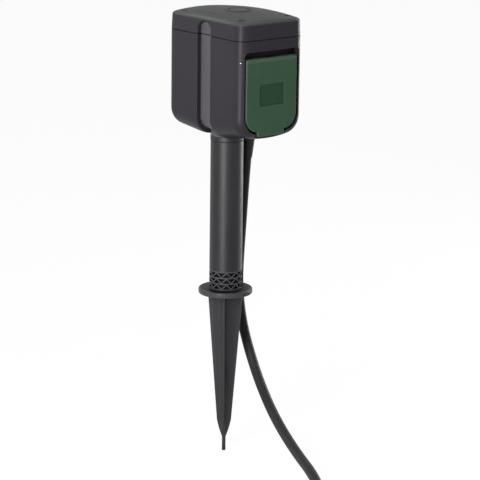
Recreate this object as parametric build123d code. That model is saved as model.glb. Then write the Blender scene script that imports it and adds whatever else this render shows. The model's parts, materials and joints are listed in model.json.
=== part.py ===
from build123d import *
import math
import os

# Garden socket spike: a two-sided socket head on a pole, with a ground spike and a supply lead.
# Frame: millimetres, +Z up. The origin is the centre of the flange's underside, which rests on
# the ground. The pole stands on the Z axis, the front outlet faces -Y and the rear one +Y.

# Ground spike and flange
SPIKE_LENGTH = 147.0
SPIKE_TOP_R = 15.4
SPIKE_TAPER = 0.076
SPIKE_PEG_R = 1.65
SPIKE_PEG_LENGTH = 12.6
SPIKE_POINT_LENGTH = 16.9
RIB_TIP = 2.2
SCALLOP_REACH = 1.45
FLANGE_R = 24.0
FLANGE_T = 5.0
FLANGE_EDGE = 1.4

# Pole, its spigots and the lattice collar
POLE_R = 14.5
POLE_WALL = 2.0
POLE_LENGTH = 116.2
SPIGOT_FIT = 0.05
SPIGOT_WALL = 2.4
SPIKE_SPIGOT_LENGTH = 36.0
COLLAR_LENGTH = 17.0
COLLAR_WALL = 1.8
COLLAR_RING = 1.0
COLLAR_RIB = 0.9
COLLAR_TIERS = 3
COLLAR_BAYS = 10
SLEEVE_RING_R = 14.75
SLEEVE_RING_LENGTH = 4.3
SLEEVE_SPIGOT_LENGTH = 20.0
SLEEVE_THREAD_R = 9.0
SLEEVE_BORE_R = 6.5
SLEEVE_THREAD_REACH = 11.5
NUT_T = 4.0
NECK_NUT_R = 12.8

# Socket head
HEAD_X = 8.0
HEAD_WIDTH = 71.0
HEAD_DEPTH = 102.4
HEAD_RISE = 4.0
HEAD_BODY_HEIGHT = 86.1
HEAD_ARCH_R = 127.5
HEAD_UNDER_R = 17.0
HEAD_EDGE_R = 10.0
HEAD_WALL = 3.0
FRAME_DEPTH = 8.0
CHANNEL_HALF = 9.0
CHANNEL_DEPTH = 4.0
CHANNEL_EDGE = 1.0
NECK_HALF = 15.0
PAD_LENGTH = 45.0
PAD_WIDTH = 29.5
PAD_HEIGHT = 7.5

# Front and rear openings in the head
OPENING_HALF = 30.3
OPENING_SILL = 5.1
OPENING_HEIGHT = 71.7
OPENING_TOP_R = 4.0
OPENING_LOW_R = 15.5
TAB_GAP = 1.5
TAB_NOTCH_DEPTH = 5.2

# Gasket and top cover
GASKET_T = 0.8
GASKET_INSET = 0.8
GASKET_WIDTH = 2.4
COVER_TAPER = 2.5
COVER_CROWN_Z = 19.1
CROWN_R_ALONG_X = 230.0
CROWN_R_ALONG_Y = 430.0
CROWN_SPAN = 12.0
COVER_EDGE = 2.6
COVER_ROOF = 3.0
COVER_CORNER_DROP = 6.0
CHANNEL_END_DROP = 7.5
SCREW_X = 25.5
SCREW_Y = 39.0
SCREW_R = 1.5
SCREW_HEAD_R = 2.7
SCREW_HEAD_T = 2.2
SCREW_SINK = 2.6
SCREW_LENGTH = 18.0
SCREW_CLEARANCE = 0.1
BOSS_R = 3.6
BOSS_LENGTH = 8.2
SEAM_X = 25.5
SEAM_FROM_Y = -1.4
SEAM_TO_Y = 22.0
SEAM_WIDTH = 0.9
SEAM_DEPTH = 0.6
SEAM_DOT_R = 1.15

# Power button
BUTTON_R = 9.2
BUTTON_Y = -4.0
BUTTON_GAP = 0.3
BUTTON_PROUD = 0.4
BUTTON_DISC_T = 2.4
BUTTON_WALL = 1.4
BUTTON_FLANGE = 1.0
BUTTON_FLANGE_T = 1.4
BUTTON_TRAVEL = 1.5
BUTTON_STEM_R = 2.2
BUTTON_RING_WIDTH = 1.6
BUTTON_RING_PROUD = 0.5
SWITCH_SIDE = 12.0
SWITCH_HEIGHT = 5.0
BUTTON_SPRING_R = 4.6
BUTTON_SPRING_WIRE = 0.8
BUTTON_SPRING_TURNS = 7
LENS_LENGTH = 4.2
LENS_WIDTH = 1.3
LENS_X = 20.0
LENS_Y = -8.5

# Socket insert and what it carries
SOCKET_Z_UP = 38.5
RECESS_R = 19.5
RECESS_DEPTH = 17.5
CUP_WALL = 2.8
CUP_FLOOR = 1.8
COLLAR_PROUD = 2.0
COLLAR_WIDTH = 2.0
PLATE_T = 3.0
PLATE_GAP = 0.2
PLATE_TOP_GAP = 0.2
PIN_PITCH = 19.0
PIN_HOLE_R = 2.75
SHUTTER_R = 15.0
SHUTTER_T = 1.2
SHUTTER_SPACE = 1.8
SHUTTER_TURN = 22.0
SHUTTER_HUB_R = 2.0
CARRIER_R = 19.0
CARRIER_T = 3.5
SLEEVE_R = 3.4
SLEEVE_HOLE_R = 2.45
SLEEVE_LENGTH = 17.0
CLIP_WIDTH = 5.0
CLIP_T = 0.8
CLIP_SINK = 0.2
CLIP_POCKET = 1.5
CLIP_TAIL = 4.0

# Hinged lids
LID_GAP_SIDE = 2.0
LID_GAP_SILL = 1.8
LID_GAP_TOP = 6.1
LID_T = 2.4
LID_SET_BACK = 1.0
LID_RETURN = 1.6
LID_RETURN_WALL = 1.6
LID_TOP_R = 3.5
LID_LOW_R = 13.5
LID_EDGE = 1.4
TAB_HALF = 15.0
TAB_REACH = 4.4
TAB_R = 2.0
FIELD_WIDTH = 26.6
FIELD_HEIGHT = 18.7
FIELD_DEPTH = 0.5
FIELD_UP = 22.1
HINGE_DROP = 2.2
HINGE_INSET = 3.0
HINGE_PIN_R = 1.2
HINGE_FIT = 0.05
PIN_SEAT_FIT = 0.02
KNUCKLE_R = 2.4
KNUCKLE_LENGTH = 15.0
LID_SPRING_R = 1.65
LID_SPRING_WIRE = 0.5
LID_SPRING_TURNS = 8
LID_SPRING_PITCH = 1.15
LID_SPRING_LEG_GAP = 0.1
SPRING_ROOM = 0.3
SEAL_R = 22.5
SEAL_WIDTH = 3.0
SEAL_REACH = 0.3

# Circuit board and what is on it
BOARD_T = 1.6
BOARD_GAP = 0.2
BOARD_UP = 21.5
BOARD_HEIGHT = 58.0
RELAY_SIZE = (19.0, 15.5, 15.3)
RELAY_PITCH = 22.0
RADIO_SIZE = (18.0, 3.2, 16.0)
TERMINAL_SIZE = (30.0, 11.0, 12.0)
COMPONENT_TOP_GAP = 3.0

# Supply lead, its gland and the coil put away on the ground
CORD_R = 4.5
GLAND_X = 24.0
GLAND_NUT_R = 7.2
GLAND_NUT_T = 4.0
GLAND_THREAD_R = 6.0
LOCKNUT_R = 8.4
RELIEF_ROOT_R = 6.2
RELIEF_TIP_R = 5.0
THREAD_FIT = 0.05
GROUND_GAP = 0.9
COIL_X = -8.0
COIL_Y = -235.5
COIL_R = 47.0
COIL_PITCH = 9.65
COIL_LAYER = 9.7
COIL_START = 155.0
COIL_TURNS = 3.25
COIL_STEPS = 13
LEAD_APPROACH = 30.0
TIE_WIDTH = 8.0
TIE_T = 0.8
TIE_GAP = 0.4
TIE_ANGLE = 200.0
TIE_CORNER = 3.0

# Plug with a side entry, lying on its back
PLUG_R = 19.0
PLUG_T = 26.0
PLUG_EDGE = 2.5
PLUG_RELIEF = 20.0
PLUG_PIN_R = 2.4
PLUG_PIN_LENGTH = 19.0
PLUG_PIN_SEAT = 5.0
PLUG_PIN_SHANK_R = 3.0
PLUG_TAIL = 9.0
EARTH_SLOT_WIDTH = 8.0
EARTH_SLOT_DEPTH = 2.4
EARTH_STRIP_WIDTH = 4.0
EARTH_STRIP_T = 0.8

# Places that follow from the sizes above
GROUND_Z = -SPIKE_LENGTH
COLLAR_Z = FLANGE_T
POLE_Z = COLLAR_Z + COLLAR_LENGTH
POLE_TOP = POLE_Z + POLE_LENGTH
PAD_Z = POLE_TOP + SLEEVE_RING_LENGTH
HEAD_Z = PAD_Z + HEAD_RISE
BODY_TOP = HEAD_Z + HEAD_BODY_HEIGHT
COVER_Z = BODY_TOP + GASKET_T
CROWN_Z = COVER_Z + COVER_CROWN_Z
ROOF_Z = CROWN_Z - COVER_CORNER_DROP - COVER_ROOF
FACE_Y = HEAD_DEPTH / 2
PLATE_Y = FACE_Y - FRAME_DEPTH
SOCKET_Z = HEAD_Z + SOCKET_Z_UP
RECESS_FLOOR_Y = PLATE_Y + COLLAR_PROUD - RECESS_DEPTH
CUP_BACK_Y = RECESS_FLOOR_Y - CUP_FLOOR - SHUTTER_SPACE
LID_FACE_Y = FACE_Y - LID_SET_BACK
LID_LOW_Z = HEAD_Z + OPENING_SILL + LID_GAP_SILL
LID_TOP_Z = HEAD_Z + OPENING_SILL + OPENING_HEIGHT - LID_GAP_TOP
HINGE_Y = LID_FACE_Y - HINGE_INSET
HINGE_Z = LID_TOP_Z - HINGE_DROP
LID_HALF = OPENING_HALF - LID_GAP_SIDE
FLOOR_Z = PAD_Z + PAD_HEIGHT - 0.4
BOARD_LOW_Z = HEAD_Z + BOARD_UP
CORD_Z = GROUND_Z + CORD_R + GROUND_GAP

# The lead's route from the gland to the coil, chosen by hand; x, y and z of each point
LEAD_ROUTE = [
    (23.0, 0.9, 120.0),
    (21.9, 1.9, 99.6),
    (20.7, 3.4, 64.0),
    (24.0, 10.2, 32.0),
    (29.6, 18.6, 0.0),
    (32.4, 16.4, -34.0),
    (32.0, 2.3, -64.2),
    (25.8, -22.1, -89.4),
    (14.8, -55.6, -108.6),
    (0.1, -99.1, -122.7),
    (-19.4, -147.2, -128.2),
]


def export(name, shapes):
    """Write one node, a solid or a group of separate solids."""
    solids = []
    for shape in shapes:
        solids.extend(shape.solids())
    body = solids[0] if len(solids) == 1 else Compound(children=solids)
    export_step(body, os.path.join("parts", name + ".step"))
    volume = sum(solid.volume for solid in solids)
    print(f"{name}: {len(solids)} solids, {volume:.0f} mm3")


def rod(radius, low, high, x=0.0, y=0.0):
    """Upright cylinder between two heights."""
    return Pos(x, y, (low + high) / 2) * Cylinder(radius, high - low)


def tube(outer, inner, low, high, x=0.0, y=0.0):
    """Upright tube between two heights."""
    return rod(outer, low, high, x, y) - rod(inner, low - 1, high + 1, x, y)


def rod_along_y(radius, y_from, y_to, x, z):
    """Cylinder along Y."""
    length = abs(y_to - y_from)
    return Pos(x, (y_from + y_to) / 2, z) * Rot(90, 0, 0) * Cylinder(radius, length)


def rod_along_x(radius, x_from, x_to, y, z):
    """Cylinder along X."""
    return Pos((x_from + x_to) / 2, y, z) * Rot(0, 90, 0) * Cylinder(radius, abs(x_to - x_from))


def block(x_from, x_to, y_from, y_to, z_from, z_to):
    """Box between two corners."""
    size = Box(abs(x_to - x_from), abs(y_to - y_from), abs(z_to - z_from))
    return Pos((x_from + x_to) / 2, (y_from + y_to) / 2, (z_from + z_to) / 2) * size


def both_sides(shape):
    """A front piece and the same piece turned to the rear of the head."""
    centre = Pos(HEAD_X, 0, 0)
    return shape, centre * Rot(0, 0, 180) * centre.inverse() * shape


# Ground spike


def spike_profile():
    """Half outline of the spike's body of revolution, from the flange to the point."""
    point_z = GROUND_Z + SPIKE_PEG_LENGTH
    shoulder_z = point_z + SPIKE_POINT_LENGTH
    shoulder_r = SPIKE_TOP_R + SPIKE_TAPER * shoulder_z
    with BuildSketch(Plane.XZ) as sketch:
        with BuildLine():
            Polyline((0, 0), (SPIKE_TOP_R, 0), (shoulder_r, shoulder_z))
            ThreePointArc(
                (shoulder_r, shoulder_z),
                ((shoulder_r + SPIKE_PEG_R) / 2 + 0.45, (shoulder_z + point_z) / 2),
                (SPIKE_PEG_R, point_z),
            )
            Polyline((SPIKE_PEG_R, point_z), (SPIKE_PEG_R, GROUND_Z), (0, GROUND_Z), (0, 0))
        make_face()
    return sketch.sketch


def scallop(angle):
    """Tapered cutter that hollows the spike between two ribs."""
    rings = []
    for z in (0.0, GROUND_Z):
        tip = SPIKE_TOP_R + SPIKE_TAPER * z
        centre = SCALLOP_REACH * tip
        radius = centre / math.sqrt(2) - RIB_TIP / 2
        rings.append(Plane((centre, 0, z)) * Circle(radius))
    return Rot(0, 0, angle) * loft([ring.face() for ring in rings], ruled=True)


def ground_spike():
    """Four-ribbed tapered spike, round flange and the spigot that carries the pole."""
    spike = revolve(spike_profile(), Axis.Z)
    for quarter in range(4):
        spike -= scallop(90 * quarter)
    flange = rod(FLANGE_R, 0, FLANGE_T)
    flange = fillet(flange.edges().filter_by(GeomType.CIRCLE), FLANGE_EDGE)
    spigot_r = POLE_R - POLE_WALL - SPIGOT_FIT
    top = FLANGE_T + SPIKE_SPIGOT_LENGTH
    spigot = tube(spigot_r, spigot_r - SPIGOT_WALL, FLANGE_T, top)
    return spike + flange + spigot


def collar_window(tier, bay, upright):
    """Radial cutter for one triangular window of the lattice."""
    tier_height = (COLLAR_LENGTH - COLLAR_RING) / COLLAR_TIERS
    low = COLLAR_Z + COLLAR_RING + tier * tier_height
    high = low + tier_height - COLLAR_RING
    half = math.pi * POLE_R / COLLAR_BAYS
    height = high - low
    rib = COLLAR_RIB / 2
    slope = half / height
    side = rib * math.sqrt(1 + slope * slope)
    base = half - side
    reach = height * base / half
    if upright:
        corners = [(-base, low), (base, low), (0, low + reach)]
    else:
        corners = [(-base, high), (base, high), (0, high - reach)]
    face = Plane.XZ * make_face(Polyline(*corners, close=True))
    window = Pos(0, -POLE_R - 2, 0) * extrude(face, amount=-2 - 2 * COLLAR_WALL)
    turn = (bay + (0 if upright else 0.5)) * 360 / COLLAR_BAYS
    return Rot(0, 0, turn) * window


def lattice_collar():
    """Open truss ring between the flange and the pole."""
    collar = tube(POLE_R, POLE_R - COLLAR_WALL, COLLAR_Z, POLE_Z)
    windows = []
    for tier in range(COLLAR_TIERS):
        for bay in range(COLLAR_BAYS):
            windows.append(collar_window(tier, bay, True))
            windows.append(collar_window(tier, bay, False))
    return collar - windows


def pole_tube():
    """Plain tube from the collar to the neck."""
    return tube(POLE_R, POLE_R - POLE_WALL, POLE_Z, POLE_TOP)


def neck_sleeve():
    """Ring under the head with a spigot into the pole and a threaded one into the head."""
    spigot_r = POLE_R - POLE_WALL - SPIGOT_FIT
    ring = rod(SLEEVE_RING_R, POLE_TOP, PAD_Z)
    ring = chamfer(ring.edges().group_by(Axis.Z)[0], 0.6)
    lower = rod(spigot_r, POLE_TOP - SLEEVE_SPIGOT_LENGTH, POLE_TOP)
    upper = rod(SLEEVE_THREAD_R, PAD_Z, PAD_Z + SLEEVE_THREAD_REACH)
    bore = rod(SLEEVE_BORE_R, POLE_TOP - SLEEVE_SPIGOT_LENGTH - 1, PAD_Z + 30)
    return ring + lower + upper - bore


def hex_nut(radius, bore, low, high, x=0.0):
    """Six-sided nut on an upright thread."""
    face = Plane((x, 0, low)) * (RegularPolygon(radius, 6) - Circle(bore))
    return extrude(face, amount=high - low)


# Socket head


def head_outline(inset, top, drop=0.0):
    """Front outline of the head: arched underside, round lower corners, straight sides."""
    half = HEAD_WIDTH / 2 - inset
    arch_r = HEAD_ARCH_R - inset
    low = HEAD_Z + inset - drop
    corner_z = low + arch_r - math.sqrt(arch_r**2 - half**2)
    with BuildSketch(Plane.XZ) as sketch:
        with BuildLine():
            ThreePointArc((-half, corner_z), (0, low), (half, corner_z))
            Polyline((half, corner_z), (half, top), (-half, top), (-half, corner_z))
        make_face()
        fillet(sketch.vertices().group_by(Axis.Y)[0], HEAD_UNDER_R - inset)
    return sketch.sketch


def head_prism(inset, top, y_from, y_to, drop=0.0):
    """Head outline carried along Y."""
    face = Pos(HEAD_X, y_to, 0) * head_outline(inset, top, drop)
    return extrude(face, amount=y_to - y_from)


def head_form():
    """Outer form of the head's body: lowest at the neck, rising to its rounded ends."""
    body = head_prism(0, BODY_TOP, -NECK_HALF, NECK_HALF, HEAD_RISE)
    for side in (-1, 1):
        near = Pos(HEAD_X, side * NECK_HALF, 0) * head_outline(0, BODY_TOP, HEAD_RISE)
        far = Pos(HEAD_X, side * FACE_Y, 0) * head_outline(0, BODY_TOP)
        body += loft([near.face(), far.face()], ruled=True)
    edges = []
    for edge in body.edges():
        centre = edge.center()
        if abs(abs(centre.Y) - FACE_Y) < 0.01 and centre.Z < BODY_TOP - 0.5:
            edges.append(edge)
    return fillet(edges, HEAD_EDGE_R)


def opening_face():
    """Outline of the front opening, round at its lower corners."""
    low = HEAD_Z + OPENING_SILL
    face = Pos(0, low + OPENING_HEIGHT / 2) * Rectangle(2 * OPENING_HALF, OPENING_HEIGHT)
    face = fillet(face.vertices().group_by(Axis.Y)[0], OPENING_LOW_R)
    return fillet(face.vertices().group_by(Axis.Y)[-1], OPENING_TOP_R)


def opening_cutter():
    """Front opening through the frame, with the notch for the lid's finger tab."""
    plane = Plane((HEAD_X, -FACE_Y - 1, 0), x_dir=(1, 0, 0), z_dir=(0, -1, 0))
    hole = extrude(plane * opening_face(), amount=-FRAME_DEPTH - 1)
    notch_half = TAB_HALF + TAB_GAP
    notch = block(
        HEAD_X - notch_half,
        HEAD_X + notch_half,
        -FACE_Y - 1,
        -FACE_Y + TAB_NOTCH_DEPTH,
        HEAD_Z - 2,
        HEAD_Z + OPENING_SILL + 2,
    )
    return hole + notch


def neck_pad():
    """Flat pad under the head that takes the pole's sleeve and the gland."""
    face = Plane((HEAD_X, 0, PAD_Z)) * SlotOverall(PAD_LENGTH, PAD_WIDTH)
    return extrude(face, amount=PAD_HEIGHT)


def channel_cutter():
    """Shallow channel round both sides and the underside, between the two outlet blocks."""
    outer = head_prism(-5, BODY_TOP + 1, -CHANNEL_HALF, CHANNEL_HALF, HEAD_RISE)
    inner = head_prism(CHANNEL_DEPTH, BODY_TOP + 2, -CHANNEL_HALF - 1, CHANNEL_HALF + 1, HEAD_RISE)
    return outer - inner


def soft_channel(body, low, high):
    """Round the channel's outer edges between two heights."""
    half = CHANNEL_HALF + 1
    middle = head_prism(CHANNEL_DEPTH / 2, CROWN_Z, -half, half, HEAD_RISE)
    edges = []
    for edge in body.edges():
        place = edge @ 0.5
        beside = abs(place.Y) < CHANNEL_HALF + 0.01
        if beside and low < place.Z < high and not middle.is_inside(place):
            edges.append(edge)
    return fillet(edges, CHANNEL_EDGE)


def head_cavity():
    """Room inside the head, narrower behind the channel."""
    top = BODY_TOP + 1
    web = CHANNEL_HALF + HEAD_WALL
    front = head_prism(HEAD_WALL, top, -PLATE_Y, -web)
    rear = head_prism(HEAD_WALL, top, web, PLATE_Y)
    middle = head_prism(HEAD_WALL + CHANNEL_DEPTH, top, -web - 1, web + 1)
    return front + rear + middle


def screw_places():
    """Axes of the four cover screws."""
    places = []
    for side in (-1, 1):
        for end in (-1, 1):
            places.append((HEAD_X + side * SCREW_X, end * SCREW_Y))
    return places


def screw_boss(x, y):
    """Boss for one cover screw, joined to the side wall and the frame by a web."""
    side = 1 if x > HEAD_X else -1
    end = 1 if y > 0 else -1
    low = BODY_TOP - BOSS_LENGTH
    wall_x = HEAD_X + side * (HEAD_WIDTH / 2 - HEAD_WALL + 0.5)
    wall_y = end * (PLATE_Y + 0.5)
    boss = rod(BOSS_R, low, BODY_TOP, x, y)
    web = block(x, wall_x, y - BOSS_R / 2, y + BOSS_R / 2, low, BODY_TOP)
    rib = block(x - BOSS_R / 2, x + BOSS_R / 2, y, wall_y, low, BODY_TOP)
    return boss + web + rib


def head_housing():
    """Moulded body of the head."""
    body = soft_channel(head_form() - channel_cutter(), PAD_Z - 1, BODY_TOP - 0.5)
    body -= head_cavity()
    body += neck_pad() - head_prism(HEAD_WALL + CHANNEL_DEPTH, BODY_TOP, -20, 20)
    front, rear = both_sides(opening_cutter())
    body -= front
    body -= rear
    for x, y in screw_places():
        body += screw_boss(x, y)
    for x, y in screw_places():
        body -= rod(SCREW_R + SCREW_CLEARANCE / 2, BODY_TOP - BOSS_LENGTH - 1, BODY_TOP + 1, x, y)
    body -= rod(SLEEVE_THREAD_R + THREAD_FIT, PAD_Z - 1, FLOOR_Z + 1)
    body -= rod(GLAND_THREAD_R + THREAD_FIT, PAD_Z - 1, FLOOR_Z + 1, GLAND_X)
    body -= rod(NECK_NUT_R + 0.4, FLOOR_Z, FLOOR_Z + 6)
    body -= rod(LOCKNUT_R + 0.4, FLOOR_Z, FLOOR_Z + 6, GLAND_X)
    for sign in (-1, 1):
        pin_hole = rod_along_x(HINGE_PIN_R + PIN_SEAT_FIT, HEAD_X - 40, HEAD_X + 40, 0, HINGE_Z)
        body -= Pos(0, sign * HINGE_Y, 0) * pin_hole
    return body


def plan_face(inset):
    """Plan outline of the head above the body, with the channel on both sides."""
    width = HEAD_WIDTH - 2 * inset
    depth = HEAD_DEPTH - 2 * inset
    face = RectangleRounded(width, depth, HEAD_EDGE_R - inset)
    notch_x = HEAD_WIDTH / 2 - CHANNEL_DEPTH - inset
    for side in (-1, 1):
        notch = Pos(side * (notch_x + 10), 0) * Rectangle(20, 2 * (CHANNEL_HALF + inset))
        face -= notch
    return Pos(HEAD_X, 0) * face


def cover_gasket():
    """Flat gasket between the body and the cover."""
    inner = plan_face(GASKET_INSET + GASKET_WIDTH)
    ring = plan_face(GASKET_INSET) - inner
    gasket = Pos(0, 0, BODY_TOP) * extrude(ring, amount=GASKET_T)
    for x, y in screw_places():
        gasket -= rod(SCREW_R + SCREW_CLEARANCE, BODY_TOP - 1, COVER_Z + 1, x, y)
    return gasket


def crown():
    """Solid under the cover's gently domed top."""
    depth = HEAD_DEPTH
    with BuildSketch(Plane.YZ) as sketch:
        with BuildLine():
            drop = CROWN_R_ALONG_Y - math.sqrt(CROWN_R_ALONG_Y**2 - depth**2)
            ThreePointArc((-depth, CROWN_Z - drop), (0, CROWN_Z), (depth, CROWN_Z - drop))
            Polyline(
                (depth, CROWN_Z - drop),
                (depth, COVER_Z - 5),
                (-depth, COVER_Z - 5),
                (-depth, CROWN_Z - drop),
            )
        make_face()
    axis = Axis((HEAD_X, 0, CROWN_Z - CROWN_R_ALONG_X), (0, 1, 0))
    section = (Pos(HEAD_X, 0, 0) * sketch.sketch).face().rotate(axis, -CROWN_SPAN)
    return revolve(section, axis, 2 * CROWN_SPAN)


def cover_channel():
    """Channel in the cover's side, with its round upper end."""
    high = CROWN_Z - CHANNEL_END_DROP
    low = COVER_Z - 1
    straight = high - CHANNEL_HALF
    x = HEAD_X + HEAD_WIDTH / 2 - CHANNEL_DEPTH
    slot = block(x, x + 10, -CHANNEL_HALF, CHANNEL_HALF, low, straight)
    slot += rod_along_x(CHANNEL_HALF, x, x + 10, 0, straight)
    return slot


def top_cover():
    """Tapered cover with a crowned top, the button bore, screw pockets and a seam line."""
    plan = Pos(HEAD_X, 0, COVER_Z) * RectangleRounded(HEAD_WIDTH, HEAD_DEPTH, HEAD_EDGE_R)
    block_up = extrude(plan, amount=CROWN_Z - COVER_Z + 2, taper=COVER_TAPER)
    cover = block_up & crown()
    rim = cover.faces().sort_by(Axis.Z)[-1].edges()
    cover = fillet(rim, COVER_EDGE)
    for slot in both_sides_x(cover_channel()):
        cover -= slot
    cover = soft_channel(cover, COVER_Z + 0.5, CROWN_Z)
    room = Pos(0, 0, COVER_Z - 1) * extrude(plan_face(HEAD_WALL), amount=ROOF_Z - COVER_Z + 1)
    cover -= room
    cover += tube(BUTTON_R + BUTTON_GAP + BUTTON_RING_WIDTH, BUTTON_R + BUTTON_GAP,
                  ROOF_Z, CROWN_Z + BUTTON_RING_PROUD, HEAD_X, BUTTON_Y)
    cover -= rod(BUTTON_R + BUTTON_GAP, COVER_Z, CROWN_Z + 5, HEAD_X, BUTTON_Y)
    for x, y in screw_places():
        cover += rod(BOSS_R, COVER_Z, ROOF_Z + 0.5, x, y)
    for x, y in screw_places():
        cover -= rod(SCREW_R + SCREW_CLEARANCE, COVER_Z - 1, CROWN_Z, x, y)
        cover -= rod(SCREW_HEAD_R + 0.3, screw_seat_z(), CROWN_Z + 5, x, y)
    cover -= seam_line()
    for lens in lens_slots(0.05):
        cover -= lens
    return cover


def both_sides_x(shape):
    """A piece on the right and its mirror image on the left of the head."""
    centre = Pos(HEAD_X, 0, 0)
    return shape, centre * mirror(centre.inverse() * shape, Plane.YZ)


def crown_height(x, y):
    """Height of the crowned top at a place on the head."""
    across = x - HEAD_X
    drop_x = CROWN_R_ALONG_X - math.sqrt(CROWN_R_ALONG_X**2 - across**2)
    drop_y = CROWN_R_ALONG_Y - math.sqrt(CROWN_R_ALONG_Y**2 - y**2)
    return CROWN_Z - drop_x - drop_y


def screw_seat_z():
    """Height of the seat under a cover screw's head."""
    return crown_height(HEAD_X + SCREW_X, SCREW_Y) - SCREW_SINK


def seam_line():
    """Shallow line with a dot at each end, pressed into the cover's top."""
    x = HEAD_X - SEAM_X
    low = crown_height(x, SEAM_TO_Y) - SEAM_DEPTH
    line = block(x - SEAM_WIDTH / 2, x + SEAM_WIDTH / 2, SEAM_FROM_Y, SEAM_TO_Y, low, CROWN_Z + 1)
    for y in (SEAM_FROM_Y, SEAM_TO_Y):
        line += rod(SEAM_DOT_R, low, CROWN_Z + 1, x, y)
    return line


def lens_slots(gap):
    """Two small bars beside the button, for the lenses or the slots that take them."""
    bars = []
    for side in (-1, 1):
        x = HEAD_X + side * LENS_X
        face = Plane((x, LENS_Y, ROOF_Z - 1)) * SlotOverall(
            LENS_LENGTH + 2 * gap, LENS_WIDTH + 2 * gap, rotation=90
        )
        bars.append(extrude(face, amount=crown_height(x, LENS_Y) + 0.1 - ROOF_Z + 1 + 10 * gap))
    return bars


def cover_screws():
    """Four pan-head screws that hold the cover down."""
    seat = screw_seat_z()
    screws = []
    for x, y in screw_places():
        head = rod(SCREW_HEAD_R, seat, seat + SCREW_HEAD_T, x, y)
        head = fillet(head.edges().group_by(Axis.Z)[-1], 0.8)
        cross = block(x - 1.6, x + 1.6, y - 0.35, y + 0.35, seat + 1.0, seat + 3)
        cross += block(x - 0.35, x + 0.35, y - 1.6, y + 1.6, seat + 1.0, seat + 3)
        screws.append(head - cross + rod(SCREW_R, seat - SCREW_LENGTH, seat, x, y))
    return screws


# Power button


def power_button():
    """Round push button with a skirt, a keeper flange and a centre stem."""
    top = CROWN_Z + BUTTON_PROUD
    disc_low = top - BUTTON_DISC_T
    flange_top = ROOF_Z - BUTTON_GAP
    button = rod(BUTTON_R, disc_low, top)
    button = fillet(button.edges().group_by(Axis.Z)[-1], 0.8)
    skirt_low = flange_top - BUTTON_FLANGE_T
    button += tube(BUTTON_R, BUTTON_R - BUTTON_WALL, skirt_low, disc_low)
    button += tube(BUTTON_R + BUTTON_FLANGE, BUTTON_R - BUTTON_WALL, skirt_low, flange_top)
    stem_low = switch_top() + BUTTON_TRAVEL + BUTTON_GAP
    button += rod(BUTTON_STEM_R, stem_low, disc_low)
    return Pos(HEAD_X, BUTTON_Y, 0) * button


def switch_top():
    """Height of the push switch's top."""
    return BOARD_LOW_Z + BOARD_HEIGHT + SWITCH_HEIGHT


def push_switch():
    """Push switch on the board's upper edge, under the button."""
    low = BOARD_LOW_Z + BOARD_HEIGHT
    half = SWITCH_SIDE / 2
    return block(HEAD_X - half, HEAD_X + half, BUTTON_Y - half, BUTTON_Y + half, low, switch_top())


def arc_mid(start, corner, end):
    """Middle of the arc that is tangent to start-corner and corner-end, which are equally long."""
    to_start = (start - corner).normalized()
    to_end = (end - corner).normalized()
    bisector = (to_start + to_end).normalized()
    half = math.radians(to_start.get_angle(to_end)) / 2
    leg = (start - corner).length
    radius = leg * math.tan(half)
    return corner + bisector * (radius / math.sin(half) - radius)


def biarc_edges(points, tangents):
    """Two tangent arcs for each step from point to point."""
    edges = []
    for index in range(len(points) - 1):
        first, last = points[index], points[index + 1]
        go, come = tangents[index], tangents[index + 1]
        chord = last - first
        total = go + come
        a = 2 * (1 - go.dot(come))
        b = chord.dot(total)
        leg = (-b + math.sqrt(b * b + a * chord.dot(chord))) / a
        one = first + go * leg
        two = last - come * leg
        joint = (one + two) / 2
        edges.append(ThreePointArc(first, arc_mid(first, one, joint), joint))
        edges.append(ThreePointArc(joint, arc_mid(joint, two, last), last))
    return edges


def wound_wire(place, turns, steps, radius, lead_in=0.0, lead_out=0.0):
    """Tube along place(t), t in turns, on biarcs, with straight ends of the given lengths."""
    points, tangents = [], []
    small = 1e-4
    for index in range(steps + 1):
        t = turns * index / steps
        before = Vector(*place(max(t - small, 0)))
        after = Vector(*place(min(t + small, turns)))
        points.append(Vector(*place(t)))
        tangents.append((after - before).normalized())
    edges = biarc_edges(points, tangents)
    if lead_in:
        edges.insert(0, Line(points[0] - tangents[0] * lead_in, points[0]))
    if lead_out:
        edges.append(Line(points[-1], points[-1] + tangents[-1] * lead_out))
    path = Wire([edge.edge() for edge in edges])
    start = edges[0].edge()
    profile = Plane(start @ 0, z_dir=start % 0) * Circle(radius)
    return sweep(profile, path=path)


def least_gap(place, turns, radius, apart=0.5):
    """Smallest clear gap between turns, measured on points along the wire."""
    count = int(turns * 60)
    marks = [(turns * i / count, Vector(*place(turns * i / count))) for i in range(count + 1)]
    least = 1e9
    for i, (t_one, one) in enumerate(marks):
        for t_two, two in marks[i + 1:]:
            if t_two - t_one > apart:
                least = min(least, (two - one).length)
    return least - 2 * radius


def button_spring():
    """Compression spring between the switch and the button."""
    low = switch_top() + BUTTON_SPRING_WIRE / 2 + 0.1
    high = CROWN_Z + BUTTON_PROUD - BUTTON_DISC_T - BUTTON_SPRING_WIRE / 2 - 0.1
    rise = (high - low) / BUTTON_SPRING_TURNS

    def place(t):
        angle = 2 * math.pi * t
        return (HEAD_X + BUTTON_SPRING_R * math.cos(angle),
                BUTTON_Y + BUTTON_SPRING_R * math.sin(angle), low + rise * t)

    radius = BUTTON_SPRING_WIRE / 2
    gap = least_gap(place, BUTTON_SPRING_TURNS, radius)
    print(f"button spring: least gap between turns {gap:.2f} mm")
    return wound_wire(place, BUTTON_SPRING_TURNS, 4 * BUTTON_SPRING_TURNS, radius)


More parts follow.
